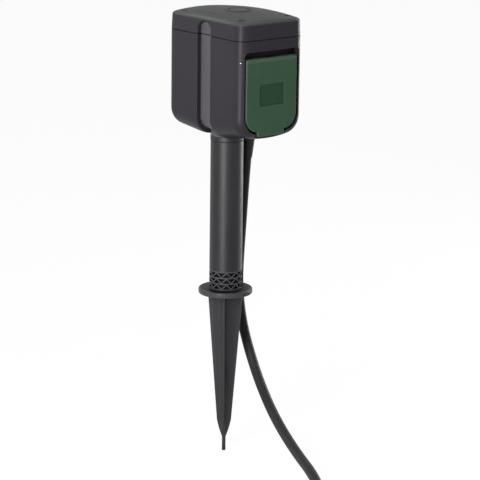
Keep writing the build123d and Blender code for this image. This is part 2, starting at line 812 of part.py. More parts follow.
def lid_spring():
    """Torsion spring round the front hinge pin, with a leg against the insert's plate."""
    length = LID_SPRING_TURNS * LID_SPRING_PITCH

    def place(t):
        angle = 2 * math.pi * (t - 0.25)
        return (HEAD_X - length / 2 + LID_SPRING_PITCH * t,
                -HINGE_Y + LID_SPRING_R * math.cos(angle),
                HINGE_Z + LID_SPRING_R * math.sin(angle))

    radius = LID_SPRING_WIRE / 2
    gap = least_gap(place, LID_SPRING_TURNS, radius)
    print(f"lid spring: least gap between turns {gap:.2f} mm")
    leg = HINGE_Y - PLATE_Y - LID_SPRING_LEG_GAP
    return wound_wire(place, LID_SPRING_TURNS, 4 * LID_SPRING_TURNS, radius, 0, leg)


# Socket insert


def socket_insert():
    """Front plate with its round recess, pin holes, clip pockets and shutter room."""
    x, z = HEAD_X, SOCKET_Z
    top = BODY_TOP - BOSS_LENGTH - PLATE_TOP_GAP
    plate = head_prism(HEAD_WALL + PLATE_GAP, top, -PLATE_Y, -PLATE_Y + PLATE_T)
    cup_r = RECESS_R + CUP_WALL
    insert = plate + rod_along_y(cup_r, -PLATE_Y, -CUP_BACK_Y, x, z)
    insert += rod_along_y(RECESS_R + COLLAR_WIDTH, -PLATE_Y - COLLAR_PROUD, -PLATE_Y, x, z)
    insert -= rod_along_y(RECESS_R, -PLATE_Y - COLLAR_PROUD - 1, -RECESS_FLOOR_Y, x, z)
    room_y = -RECESS_FLOOR_Y + CUP_FLOOR
    insert -= rod_along_y(SHUTTER_R + 0.3, room_y, -CUP_BACK_Y + 1, x, z)
    for side in (-1, 1):
        hole_x = x + side * PIN_PITCH / 2
        insert -= rod_along_y(PIN_HOLE_R, -RECESS_FLOOR_Y - 1, room_y + 1, hole_x, z)
    for pocket in clip_blocks(CLIP_WIDTH / 2 + 0.1, 0.0, CLIP_POCKET, CUP_BACK_Y - 1):
        insert -= pocket
    return insert


def clip_blocks(half, low, high, back_y):
    """Pair of blocks over and under the recess, between two depths into its wall."""
    blocks = []
    for side in (-1, 1):
        near = SOCKET_Z + side * (RECESS_R + low)
        far = SOCKET_Z + side * (RECESS_R + high)
        blocks.append(block(HEAD_X - half, HEAD_X + half, -PLATE_Y - COLLAR_PROUD + 3, -back_y,
                            near, far))
    return blocks


def earth_clips():
    """Two earth clips, flush in the pockets of the recess wall."""
    low = CLIP_SINK
    high = CLIP_SINK + CLIP_T
    back = CUP_BACK_Y - CARRIER_T - CLIP_TAIL
    clips = []
    for strip in clip_blocks(CLIP_WIDTH / 2, low, high, back):
        clips.append(strip)
    return clips


def shutter():
    """Turning shutter disc behind the recess floor, with its two pin holes off line."""
    front = -RECESS_FLOOR_Y + CUP_FLOOR + 0.3
    disc = rod_along_y(SHUTTER_R, front, front + SHUTTER_T, HEAD_X, SOCKET_Z)
    for side in (-1, 1):
        angle = math.radians(SHUTTER_TURN)
        hole_x = HEAD_X + side * PIN_PITCH / 2 * math.cos(angle)
        hole_z = SOCKET_Z + side * PIN_PITCH / 2 * math.sin(angle)
        disc -= rod_along_y(PIN_HOLE_R + 0.2, front - 1, front + SHUTTER_T + 1, hole_x, hole_z)
    return disc - rod_along_y(SHUTTER_HUB_R + 0.1, front - 1, front + 3, HEAD_X, SOCKET_Z)


def contact_carrier():
    """Carrier behind the cup that holds the contact sleeves and the shutter's hub."""
    front = -CUP_BACK_Y
    back = front + CARRIER_T
    carrier = rod_along_y(CARRIER_R, front, back, HEAD_X, SOCKET_Z)
    for side in (-1, 1):
        hole_x = HEAD_X + side * PIN_PITCH / 2
        carrier -= rod_along_y(SLEEVE_R + 0.05, front - 1, back + 1, hole_x, SOCKET_Z)
    hub = rod_along_y(SHUTTER_HUB_R, front - SHUTTER_SPACE + 0.2, front, HEAD_X, SOCKET_Z)
    return carrier + hub


def contact_sleeves():
    """Two spring sleeves that take the plug's pins."""
    front = -CUP_BACK_Y + 0.1
    sleeves = []
    for side in (-1, 1):
        x = HEAD_X + side * PIN_PITCH / 2
        sleeve = rod_along_y(SLEEVE_R, front, front + SLEEVE_LENGTH, x, SOCKET_Z)
        sleeve -= rod_along_y(SLEEVE_HOLE_R, front - 1, front + SLEEVE_LENGTH - 1.5, x, SOCKET_Z)
        sleeves.append(sleeve)
    return sleeves


# Hinged lid


def lid_face(inset):
    """Front outline of the lid without its finger tab."""
    height = LID_TOP_Z - LID_LOW_Z - 2 * inset
    middle = (LID_TOP_Z + LID_LOW_Z) / 2
    face = Pos(0, middle) * Rectangle(2 * (LID_HALF - inset), height)
    face = fillet(face.vertices().group_by(Axis.Y)[0], LID_LOW_R - inset)
    return fillet(face.vertices().group_by(Axis.Y)[-1], LID_TOP_R - inset)


def tab_face():
    """Outline of the finger tab at the lid's lower edge."""
    high = LID_LOW_Z + LID_LOW_R
    low = LID_LOW_Z - TAB_REACH
    face = Pos(0, (high + low) / 2) * Rectangle(2 * TAB_HALF, high - low)
    return fillet(face.vertices().group_by(Axis.Y)[0], TAB_R)


def front_lid():
    """Lid with a rolled edge, a finger tab, a bare field and the hinge knuckles."""
    plane = Plane((HEAD_X, -LID_FACE_Y, 0), x_dir=(1, 0, 0), z_dir=(0, -1, 0))
    skin = extrude(plane * (lid_face(0) + tab_face()), amount=-LID_T)
    rim = skin.faces().sort_by(Axis.Y)[0].edges()
    skin = fillet(rim, LID_EDGE)
    wall_plane = plane.offset(-LID_T)
    ring = wall_plane * (lid_face(0) - lid_face(LID_RETURN_WALL))
    lid = skin + extrude(ring, amount=-LID_RETURN)
    for side in (-1, 1):
        outer = HEAD_X + side * LID_HALF
        inner = outer - side * KNUCKLE_LENGTH
        lid += rod_along_x(KNUCKLE_R, outer, inner, -HINGE_Y, HINGE_Z)
    lid = lid & top_round()
    half = LID_SPRING_TURNS * LID_SPRING_PITCH / 2 + LID_SPRING_WIRE + SPRING_ROOM
    room_r = LID_SPRING_R + LID_SPRING_WIRE / 2 + SPRING_ROOM
    lid -= rod_along_x(room_r, HEAD_X - half, HEAD_X + half, -HINGE_Y, HINGE_Z)
    lid -= block(HEAD_X - half, HEAD_X + half, -LID_FACE_Y + LID_T, 0, HINGE_Z - KNUCKLE_R,
                 LID_TOP_Z + 1)
    lid -= rod_along_x(HINGE_PIN_R + HINGE_FIT, HEAD_X - 40, HEAD_X + 40, -HINGE_Y, HINGE_Z)
    field_low = HEAD_Z + OPENING_SILL + LID_GAP_SILL + FIELD_UP
    lid -= block(HEAD_X - FIELD_WIDTH / 2, HEAD_X + FIELD_WIDTH / 2, -LID_FACE_Y - 1,
                 -LID_FACE_Y + FIELD_DEPTH, field_low, field_low + FIELD_HEIGHT)
    return lid


def top_round():
    """Space that the lid may fill: all below the hinge, and a round top edge about its axis."""
    low = block(HEAD_X - 40, HEAD_X + 40, -FACE_Y - 5, 0, HEAD_Z - 20, HINGE_Z)
    return low + rod_along_x(math.hypot(HINGE_INSET, HINGE_DROP) - 0.25,
                             HEAD_X - 40, HEAD_X + 40, -HINGE_Y, HINGE_Z)


def lid_seal():
    """Rubber ring inside the lid that meets the collar of the recess."""
    back = -LID_FACE_Y + LID_T
    front = -PLATE_Y - COLLAR_PROUD - SEAL_REACH
    outer = rod_along_y(SEAL_R + SEAL_WIDTH / 2, back, front, HEAD_X, SOCKET_Z)
    return outer - rod_along_y(SEAL_R - SEAL_WIDTH / 2, back - 1, front + 1, HEAD_X, SOCKET_Z)


def hinge_pin():
    """Steel hinge pin, flush with the head's rounded corners."""
    pin = rod_along_x(HINGE_PIN_R, HEAD_X - 40, HEAD_X + 40, -HINGE_Y, HINGE_Z)
    return pin & head_form()


# Circuit board


def circuit_board():
    """Board that stands across the head between the two outlets."""
    half = HEAD_WIDTH / 2 - HEAD_WALL - CHANNEL_DEPTH - BOARD_GAP
    return block(HEAD_X - half, HEAD_X + half, -BOARD_T / 2, BOARD_T / 2,
                 BOARD_LOW_Z, BOARD_LOW_Z + BOARD_HEIGHT)


def relays():
    """Two relays, one for each outlet."""
    width, depth, height = RELAY_SIZE
    top = BOARD_LOW_Z + BOARD_HEIGHT - COMPONENT_TOP_GAP
    pair = []
    for side in (-1, 1):
        x = HEAD_X + side * RELAY_PITCH / 2
        body = block(x - width / 2, x + width / 2, BOARD_T / 2, BOARD_T / 2 + depth,
                     top - height, top)
        pair.append(fillet(body.edges().filter_by(Axis.Y), 0.8))
    return pair


def radio_module():
    """Shielded radio module on the front of the board."""
    width, depth, height = RADIO_SIZE
    top = BOARD_LOW_Z + BOARD_HEIGHT - COMPONENT_TOP_GAP
    return block(HEAD_X - width / 2, HEAD_X + width / 2, -BOARD_T / 2 - depth, -BOARD_T / 2,
                 top - height, top)


def terminal_block():
    """Three-way terminal block for the lead's wires, low on the board."""
    width, depth, height = TERMINAL_SIZE
    front = -BOARD_T / 2 - depth
    body = block(HEAD_X - width / 2, HEAD_X + width / 2, front, -BOARD_T / 2,
                 BOARD_LOW_Z, BOARD_LOW_Z + height)
    for way in (-1, 0, 1):
        x = HEAD_X + way * width / 3
        body -= rod_along_y(2.2, front - 1, front + 4, x, BOARD_LOW_Z + height / 2)
    return body


# Supply lead


def cable_gland():
    """Round gland body: nut below the pad, thread up through it."""
    nut = rod(GLAND_NUT_R, PAD_Z - GLAND_NUT_T, PAD_Z, GLAND_X)
    nut = fillet(nut.edges().group_by(Axis.Z)[0], 1.0)
    thread = rod(GLAND_THREAD_R, PAD_Z, PAD_Z + SLEEVE_THREAD_REACH, GLAND_X)
    return nut + thread - rod(CORD_R, PAD_Z + 1, PAD_Z + 40, GLAND_X)


def gland_relief():
    """Tapered rubber sleeve where the lead leaves the gland, in line with the lead's first run."""
    top = PAD_Z - GLAND_NUT_T
    tip = Vector(*LEAD_ROUTE[0])
    way = (Vector(*LEAD_ROUTE[0]) - Vector(*LEAD_ROUTE[1])).normalized()
    length = (top - tip.Z) / way.Z + 2
    taper = Pos(0, 0, length / 2) * Cone(RELIEF_TIP_R, RELIEF_ROOT_R, length)
    sleeve = Plane(tip, z_dir=way).location * taper
    return sleeve - rod(4 * GLAND_NUT_R, top, top + 10, GLAND_X)


def coil_place(t):
    """Point of the coil after t turns: in on the lower layer, out on the upper one."""
    middle = COIL_TURNS / 2
    inward = min(t, COIL_TURNS - t)
    radius = COIL_R - COIL_PITCH * inward
    near = (t - middle) / 0.25
    if abs(near) < 1:
        radius = COIL_R - COIL_PITCH * (middle - 0.125 * (1 + near * near))
    climb = min(max((t - middle) / 0.5 + 0.5, 0), 1)
    climb = climb * climb * (3 - 2 * climb)
    angle = math.radians(COIL_START) + 2 * math.pi * t
    return (COIL_X + radius * math.cos(angle), COIL_Y + radius * math.sin(angle),
            CORD_Z + COIL_LAYER * climb)


def coil_end(t, out):
    """Point on the coil's straight end, out millimetres past its first or last turn."""
    small = 1e-4
    one = Vector(*coil_place(max(t - small, 0)))
    two = Vector(*coil_place(min(t + small, COIL_TURNS)))
    way = (two - one).normalized()
    return Vector(*coil_place(t)) + way * out, way


def cord_coil():
    """The put-away length of the lead: one unbroken tube in two layers of turns."""
    gap = least_gap(coil_place, COIL_TURNS, CORD_R)
    print(f"cord coil: least gap between turns {gap:.2f} mm")
    return wound_wire(coil_place, COIL_TURNS, COIL_STEPS, CORD_R, 2 * CORD_R, 2 * CORD_R)


def route_tube(points, radius):
    """Round tube along straight runs joined by tangent arcs, as large as the runs allow."""
    corners = [Vector(*point) for point in points]
    radii = []
    for before, corner, after in zip(corners, corners[1:], corners[2:]):
        turn = math.radians((corner - before).get_angle(after - corner))
        run = min((corner - before).length, (after - corner).length)
        radii.append(0.45 * run / math.tan(turn / 2))
    print("radii of the route:", [round(value) for value in radii])
    path = FilletPolyline(*corners, radius=radii) if radii else Line(*corners)
    profile = Plane(path @ 0, z_dir=path % 0) * Circle(radius)
    tube_solid = sweep(profile, path=path)
    drift = tube_solid.volume / (math.pi * radius**2 * path.length)
    print(f"route: length {path.length:.0f} mm, volume ratio {drift:.4f}")
    return tube_solid


def power_cord():
    """The lead from the gland's sleeve to the coil."""
    start, way = coil_end(0, -2 * CORD_R)
    return route_tube(LEAD_ROUTE + [tuple(start - way * LEAD_APPROACH), tuple(start)], CORD_R)


def plug_frame():
    """Where the plug's side entry begins, and the way the lead runs into it."""
    start, way = coil_end(COIL_TURNS, 2 * CORD_R)
    return start + way * PLUG_TAIL, way


def cord_tail():
    """Short stretch from the coil to the plug."""
    start, way = coil_end(COIL_TURNS, 2 * CORD_R)
    end, way = plug_frame()
    return route_tube([tuple(start), tuple(end)], CORD_R)


def plug_plane():
    """Plane of the plug: its X runs in from the lead, Z is up, origin at the ground."""
    start, way = plug_frame()
    return Plane((start.X, start.Y, GROUND_Z + GROUND_GAP), x_dir=(way.X, way.Y, 0), z_dir=(0, 0, 1))


def plug_parts():
    """Body, strain relief, pins and earth strips of the plug, in its own plane."""
    entry = CORD_Z + COIL_LAYER - GROUND_Z - GROUND_GAP
    centre_x = PLUG_RELIEF + PLUG_R
    body = rod(PLUG_R, 0, PLUG_T, centre_x)
    body = fillet(body.edges().filter_by(GeomType.CIRCLE), PLUG_EDGE)
    relief = Pos(PLUG_RELIEF / 2, 0, entry) * Rot(0, 90, 0) * Cone(
        RELIEF_TIP_R, RELIEF_ROOT_R, PLUG_RELIEF
    )
    relief = relief - rod(PLUG_R, -1, PLUG_T + 1, centre_x)
    pins, strips = [], []
    for side in (-1, 1):
        y = side * PIN_PITCH / 2
        low = PLUG_T - PLUG_PIN_SEAT
        body -= rod(PLUG_PIN_SHANK_R + PIN_SEAT_FIT, low, PLUG_T + 1, centre_x, y)
        pin = rod(PLUG_PIN_R, PLUG_T, PLUG_T + PLUG_PIN_LENGTH, centre_x, y)
        pin = fillet(pin.edges().group_by(Axis.Z)[-1], 1.2)
        pins.append(pin + rod(PLUG_PIN_SHANK_R, low, PLUG_T, centre_x, y))
        slot_x = centre_x + side * PLUG_R
        depth = side * EARTH_SLOT_DEPTH
        half = EARTH_SLOT_WIDTH / 2
        body -= block(slot_x - depth, slot_x + depth, -half, half, PLUG_T * 0.45, PLUG_T + 1)
        inner = slot_x - depth
        strips.append(block(inner, inner + side * EARTH_STRIP_T, -EARTH_STRIP_WIDTH / 2,
                            EARTH_STRIP_WIDTH / 2, PLUG_T * 0.45, PLUG_T - 1))
    return body, relief, pins, strips


def coil_tie():
    """Strap round the turns of the coil, clear of the half turn where it climbs."""
    angle = math.radians(TIE_ANGLE)
    first = (TIE_ANGLE - COIL_START) / 360
    radii = []
    for turn in range(int(COIL_TURNS - first) + 1):
        x, y, z = coil_place(first + turn)
        radii.append(math.hypot(x - COIL_X, y - COIL_Y))
    inner = min(radii) - CORD_R - TIE_GAP
    outer = max(radii) + CORD_R + TIE_GAP
    low = CORD_Z - CORD_R - 0.05
    high = CORD_Z + COIL_LAYER + CORD_R + TIE_GAP
    middle = (inner + outer) / 2
    centre = (COIL_X + middle * math.cos(angle), COIL_Y + middle * math.sin(angle), (low + high) / 2)
    plane = Plane(centre, x_dir=(math.cos(angle), math.sin(angle), 0),
                  z_dir=(math.sin(angle), -math.cos(angle), 0))
    hole = RectangleRounded(outer - inner, high - low, TIE_CORNER)
    strap = RectangleRounded(outer - inner + 2 * TIE_T, high - low + 2 * TIE_T, TIE_CORNER + TIE_T)
    return extrude(plane * (strap - hole), amount=TIE_WIDTH / 2, both=True)


def main():
    """Build and write every node."""
    os.makedirs("parts", exist_ok=True)
    export("ground_spike", [ground_spike()])
    export("lattice_collar", [lattice_collar()])
    export("pole_tube", [pole_tube()])
    export("neck_sleeve", [neck_sleeve()])
    export("neck_nut", [hex_nut(NECK_NUT_R, SLEEVE_THREAD_R + THREAD_FIT, FLOOR_Z, FLOOR_Z + NUT_T)])
    export("head_housing", [head_housing()])
    export("cover_gasket", [cover_gasket()])
    export("top_cover", [top_cover()])
    export("cover_screws", cover_screws())
    export("status_lenses", lens_slots(0))
    export("power_button", [power_button()])
    export("button_spring", [button_spring()])
    export("push_switch", [push_switch()])
    for name, shapes in (
        ("socket_insert", [socket_insert()]),
        ("earth_clips", earth_clips()),
        ("shutter", [shutter()]),
        ("contact_carrier", [contact_carrier()]),
        ("contact_sleeves", contact_sleeves()),
        ("lid", [front_lid()]),
        ("lid_seal", [lid_seal()]),
        ("hinge_pin", [hinge_pin()]),
        ("lid_spring", [lid_spring()]),
    ):
        pairs = [both_sides(shape) for shape in shapes]
        export("front_" + name, [pair[0] for pair in pairs])
        export("rear_" + name, [pair[1] for pair in pairs])
    export("circuit_board", [circuit_board()])
    export("relays", relays())
    export("radio_module", [radio_module()])
    export("terminal_block", [terminal_block()])
    export("cable_gland", [cable_gland()])
    export("gland_locknut",
           [hex_nut(LOCKNUT_R, GLAND_THREAD_R + THREAD_FIT, FLOOR_Z, FLOOR_Z + NUT_T, GLAND_X)])
    export("gland_relief", [gland_relief()])
    export("power_cord", [power_cord()])
    export("cord_coil", [cord_coil()])
    export("cord_tail", [cord_tail()])
    export("coil_tie", [coil_tie()])
    plane = plug_plane()
    body, relief, pins, strips = plug_parts()
    export("plug_body", [plane.location * body])
    export("plug_relief", [plane.location * relief])
    export("plug_pins", [plane.location * pin for pin in pins])
    export("plug_earth_strips", [plane.location * strip for strip in strips])


main()
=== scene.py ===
"""Garden socket spike: finishes, lead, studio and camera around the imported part."""

import json
import logging
import math
from abc import ABC, abstractmethod
from dataclasses import dataclass, field, replace
from enum import Enum
from typing import Any, ClassVar

import bmesh
import bpy
from mathutils import Matrix, Vector


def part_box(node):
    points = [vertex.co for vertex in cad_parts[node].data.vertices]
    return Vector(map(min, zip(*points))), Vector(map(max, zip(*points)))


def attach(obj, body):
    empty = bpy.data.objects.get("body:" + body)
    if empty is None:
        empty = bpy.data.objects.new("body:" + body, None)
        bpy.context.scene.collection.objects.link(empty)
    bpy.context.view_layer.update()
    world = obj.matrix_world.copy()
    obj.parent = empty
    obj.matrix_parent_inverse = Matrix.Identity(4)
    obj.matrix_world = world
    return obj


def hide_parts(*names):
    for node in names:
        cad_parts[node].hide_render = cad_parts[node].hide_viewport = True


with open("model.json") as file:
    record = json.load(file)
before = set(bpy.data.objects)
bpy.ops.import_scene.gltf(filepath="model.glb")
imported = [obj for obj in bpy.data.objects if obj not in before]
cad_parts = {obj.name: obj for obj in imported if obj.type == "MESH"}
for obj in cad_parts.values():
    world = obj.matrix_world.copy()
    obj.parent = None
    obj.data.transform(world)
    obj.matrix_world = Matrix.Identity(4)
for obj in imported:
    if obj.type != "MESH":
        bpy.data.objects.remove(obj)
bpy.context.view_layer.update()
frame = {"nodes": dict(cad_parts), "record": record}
Point = tuple[float, float, float]
SLOTS = {row["node"]: row["material_slot"] for row in frame["record"]["subparts"]}
LOG = logging.getLogger("socket_spike")
MM = 0.001
MAIN = "spike_and_head"
# A distance in millimetres from the origin that is well past any side of the head.
PAST = 100.0
# A Mix node's sockets share their names, so they go by number.
FACTOR, NUMBER_A, NUMBER_B, COLOUR_A, COLOUR_B = 0, 2, 3, 6, 7
MIXED_NUMBER, MIXED_COLOUR = 0, 2


# Colour, node and size helpers


def linear(colour: str) -> tuple[float, float, float, float]:
    """Turn an sRGB hex colour into linear light.

    Args:
        colour: Six hex digits, with or without a leading hash.

    Returns:
        Red, green, blue and an alpha of one.
    """
    digits = colour.lstrip("#")
    values = [int(digits[i:i + 2], 16) / 255 for i in (0, 2, 4)]
    return (*(v / 12.92 if v <= 0.04045 else ((v + 0.055) / 1.055) ** 2.4 for v in values), 1.0)


WHITE = linear("#ffffff")


def feed(socket: bpy.types.NodeSocket, value: Any) -> None:
    """Give an input its own value, or link it to what feeds it.

    Args:
        socket: The input.
        value: A plain value, or the output socket of another node.
    """
    if isinstance(value, bpy.types.NodeSocket):
        socket.id_data.links.new(value, socket)
    else:
        socket.default_value = value


def put(tree: bpy.types.NodeTree, kind: str, inputs: dict[int | str, Any] | None = None,
        **settings: Any) -> bpy.types.Node:
    """Add a node with its settings, socket values and links.

    Args:
        tree: The node tree.
        kind: The node's type.
        inputs: Socket name or index to a value, or to the output socket that feeds it.
        settings: Attributes of the node.

    Returns:
        The new node.
    """
    node = tree.nodes.new(kind)
    for name, value in settings.items():
        setattr(node, name, value)
    for socket, value in (inputs or {}).items():
        feed(node.inputs[socket], value)
    return node


def new_material(name: str) -> tuple[bpy.types.Material, bpy.types.Node]:
    """Start a material with a bare Principled shader.

    Args:
        name: The material's name.

    Returns:
        The material and its Principled node.
    """
    material = bpy.data.materials.new(name)
    material.use_nodes = True
    tree = material.node_tree
    tree.nodes.clear()
    shader = put(tree, "ShaderNodeBsdfPrincipled")
    put(tree, "ShaderNodeOutputMaterial", {"Surface": shader.outputs["BSDF"]})
    return material, shader


def background_rays(tree: bpy.types.NodeTree) -> bpy.types.NodeSocket:
    """Pick out the rays that show the background, straight or through gloss or glass.

    Args:
        tree: The node tree.

    Returns:
        The socket that is one for such a ray and zero for any other.
    """
    path = put(tree, "ShaderNodeLightPath")
    seen = path.outputs["Is Camera Ray"]
    for kind in ("Is Transmission Ray", "Is Glossy Ray"):
        seen = put(tree, "ShaderNodeMath", {0: seen, 1: path.outputs[kind]},
                   operation="MAXIMUM").outputs[0]
    return seen


@dataclass(frozen=True)
class Span:
    """A piece's box at rest, to a hundredth of a millimetre, so that like pieces match."""

    low: Vector
    high: Vector

    @classmethod
    def of(cls, node: str) -> "Span":
        """Read a node's box from the frame.

        Args:
            node: The node's name.

        Returns:
            Its box in millimetres.
        """
        low, high = ([round(value / MM, 2) for value in corner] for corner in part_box(node))
        return cls(Vector(low), Vector(high))

    @property
    def middle(self) -> Vector:
        """Give the box's centre."""
        return (self.low + self.high) / 2


# Finishes


class Shape(Enum):
    """The form of a patch, with the axis that a round one lies along."""

    BLOCK = None
    ROD = 0
    DISC = 2


@dataclass(frozen=True)
class Patch:
    """A stretch of a surface with its own colour or gloss, between two corners in millimetres.

    A rod or a disc is round within that block, with half of its Y side as the radius. Without a
    roughness the finish keeps its own.
    """

    low: Point
    high: Point
    fade: float
    colour: str
    roughness: float | None = None
    shape: Shape = Shape.BLOCK

    def mask(self, tree: bpy.types.NodeTree, where: bpy.types.NodeSocket) -> bpy.types.NodeSocket:
        """Build the patch's mask.

        Args:
            tree: The node tree.
            where: The object coordinates.

        Returns:
            The socket that is one inside the patch and zero outside it.
        """
        low, high = Vector(self.low) * MM, Vector(self.high) * MM
        half = (high - low) / 2
        offset = put(tree, "ShaderNodeVectorMath", {0: where, 1: (low + high) / 2},
                     operation="SUBTRACT").outputs[0]
        size = put(tree, "ShaderNodeVectorMath", {0: offset}, operation="ABSOLUTE").outputs[0]
        left = put(tree, "ShaderNodeVectorMath", {0: half, 1: size},
                   operation="SUBTRACT").outputs[0]
        rooms = list(put(tree, "ShaderNodeSeparateXYZ", {0: left}).outputs)
        along = self.shape.value
        if along is not None:
            across = [0.0 if axis == along else 1.0 for axis in range(3)]
            flat = put(tree, "ShaderNodeVectorMath", {0: offset, 1: across},
                       operation="MULTIPLY").outputs[0]
            reach = put(tree, "ShaderNodeVectorMath", {0: flat}, operation="LENGTH")
            inside = put(tree, "ShaderNodeMath", {0: half.y, 1: reach.outputs["Value"]},
                         operation="SUBTRACT").outputs[0]
            rooms = [inside, rooms[along]]
        least = rooms[0]
        for room in rooms[1:]:
            least = put(tree, "ShaderNodeMath", {0: least, 1: room},
                        operation="MINIMUM").outputs[0]
        return put(tree, "ShaderNodeMapRange",
                   {"Value": least, "From Min": 0.0, "From Max": self.fade * MM}).outputs[0]


@dataclass(frozen=True)
class Finish(ABC):
    """A surface as its maker leaves it, with patches of another colour or gloss."""

    name: str
    colour: str
    patches: tuple[Patch, ...] = field(default=(), kw_only=True)

    @abstractmethod
    def build(self) -> bpy.types.Material:
        """Make the node material."""

    def lay_patches(self, tree: bpy.types.NodeTree, where: bpy.types.NodeSocket, colour: Any,
                    gloss: bpy.types.NodeSocket) -> tuple[Any, bpy.types.NodeSocket]:
        """Lay the patches over the surface, one after another.

        Args:
            tree: The node tree.
            where: The object coordinates.
            colour: The colour under them, or the socket that gives it.
            gloss: The socket of the roughness under them.

        Returns:
            The colour and the roughness with the patches on.
        """
        for patch in self.patches:
            mask = patch.mask(tree, where)
            colour = put(tree, "ShaderNodeMix",
                         {FACTOR: mask, COLOUR_A: colour, COLOUR_B: linear(patch.colour)},
                         data_type="RGBA").outputs[MIXED_COLOUR]
            if patch.roughness is not None:
                gloss = put(tree, "ShaderNodeMix",
                            {FACTOR: mask, NUMBER_A: gloss, NUMBER_B: patch.roughness},
                            data_type="FLOAT").outputs[MIXED_NUMBER]
        return colour, gloss


@dataclass(frozen=True)
class Moulded(Finish):
    """Moulded plastic or rubber: eroded grain, rubbed edges, handling marks and painted shade in
    corners.
    """

    worn: str
    roughness: float
    # Real eroded grain is about 0.1 mm, and it is drawn coarser so that it shows.
    grain_mm: float = 0.55
    grain_depth_mm: float = 0.012
    edge_mm: float = 0.35
    edge_share: float = 0.35
    blotch_mm: float = 38.0
    blotch_share: float = 0.12
    ior: float = 1.5
    # The grain breaks up the gloss, so this is far below the level of smooth plastic.
    specular: float = 0.08
    # Painted shade: how far a corner's darkening reaches, and how much of the colour it takes.
    crevice_mm: float = 1.6
    crevice_share: float = 0.55

    # Rays for each look at an edge or a corner.
    LOOKS: ClassVar[int] = 6
    # The turn of an edge, as a cosine, at which it starts to be rubbed and is fully rubbed.
    RUBBED: ClassVar[tuple[float, float]] = (0.995, 0.90)
    # The noise levels at which a handling mark starts and is full.
    MARKED: ClassVar[tuple[float, float]] = (0.35, 0.75)
    # The noise levels at which the surface is glossiest and dullest, and by how much.
    HANDLED: ClassVar[tuple[float, float]] = (0.3, 0.7)
    GLOSSIER: ClassVar[float] = 0.04
    DULLER: ClassVar[float] = 0.06
    # How open a corner is when its painted shade is darkest, and when it isn't dark any more.
    CLOSED: ClassVar[tuple[float, float]] = (0.35, 0.9)

    def worn_colour(self, tree: bpy.types.NodeTree, soft: bpy.types.NodeSocket,
                    marks: bpy.types.NodeSocket) -> bpy.types.NodeSocket:
        """Lighten the colour on rubbed edges and handling marks.

        Args:
            tree: The node tree.
            soft: The normal with its edges rounded.
            marks: The noise of the handling marks.

        Returns:
            The socket of the colour.
        """
        true = put(tree, "ShaderNodeNewGeometry").outputs["Normal"]
        turn = put(tree, "ShaderNodeVectorMath", {0: soft, 1: true}, operation="DOT_PRODUCT")
        rubbed = put(tree, "ShaderNodeMapRange",
                     {"Value": turn.outputs["Value"], "From Min": self.RUBBED[0],
                      "From Max": self.RUBBED[1], "To Min": 0.0, "To Max": self.edge_share})
        blotch = put(tree, "ShaderNodeMapRange",
                     {"Value": marks, "From Min": self.MARKED[0], "From Max": self.MARKED[1],
                      "To Min": 0.0, "To Max": self.blotch_share})
        share = put(tree, "ShaderNodeMath", {0: blotch.outputs[0], 1: rubbed.outputs[0]},
                    operation="ADD", use_clamp=True)
        return put(tree, "ShaderNodeMix",
                   {FACTOR: share.outputs[0], COLOUR_A: linear(self.colour),
                    COLOUR_B: linear(self.worn)}, data_type="RGBA").outputs[MIXED_COLOUR]

    def painted_crevice_shade(self, tree: bpy.types.NodeTree) -> bpy.types.NodeSocket:
        """Find how much of the colour is left in corners and grooves, as painted shade.

        Args:
            tree: The node tree.

        Returns:
            The socket that is one in the open and less in a corner.
        """
        shut = put(tree, "ShaderNodeAmbientOcclusion", {"Distance": self.crevice_mm * MM},
                   samples=self.LOOKS)
        return put(tree, "ShaderNodeMapRange",
                   {"Value": shut.outputs["AO"], "From Min": self.CLOSED[0],
                    "From Max": self.CLOSED[1], "To Min": 1 - self.crevice_share,
                    "To Max": 1.0}).outputs[0]

    def build(self) -> bpy.types.Material:
        """Make the node material.

        Returns:
            The finished material.
        """
        material, shader = new_material(self.name)
        tree = material.node_tree
        where = put(tree, "ShaderNodeTexCoord").outputs["Object"]
        soft = put(tree, "ShaderNodeBevel", {"Radius": self.edge_mm * MM},
                   samples=self.LOOKS).outputs[0]
        marks = put(tree, "ShaderNodeTexNoise",
                    {"Vector": where, "Scale": 1 / (self.blotch_mm * MM), "Detail": 4.0,
                     "Roughness": 0.6}).outputs[0]
        grain = put(tree, "ShaderNodeTexNoise",
                    {"Vector": where, "Scale": 1 / (self.grain_mm * MM), "Detail": 3.0,
                     "Roughness": 0.65})
        relief = put(tree, "ShaderNodeBump",
                     {"Strength": 1.0, "Distance": self.grain_depth_mm * MM,
                      "Height": grain.outputs[0], "Normal": soft})
        gloss = put(tree, "ShaderNodeMapRange",
                    {"Value": marks, "From Min": self.HANDLED[0], "From Max": self.HANDLED[1],
                     "To Min": self.roughness - self.GLOSSIER,
                     "To Max": self.roughness + self.DULLER}).outputs[0]
        colour = self.worn_colour(tree, soft, marks)
        colour, gloss = self.lay_patches(tree, where, colour, gloss)
        # Painted shade: the colour is darkened in corners and grooves.
        crevice_shaded_colour = put(tree, "ShaderNodeVectorMath", {0: colour, "Scale": self.painted_crevice_shade(tree)},
                   operation="SCALE")
        feed(shader.inputs["Base Color"], crevice_shaded_colour.outputs[0])
        feed(shader.inputs["Roughness"], gloss)
        feed(shader.inputs["Normal"], relief.outputs[0])
        feed(shader.inputs["IOR"], self.ior)
        feed(shader.inputs["Specular IOR Level"], self.specular)
        return material


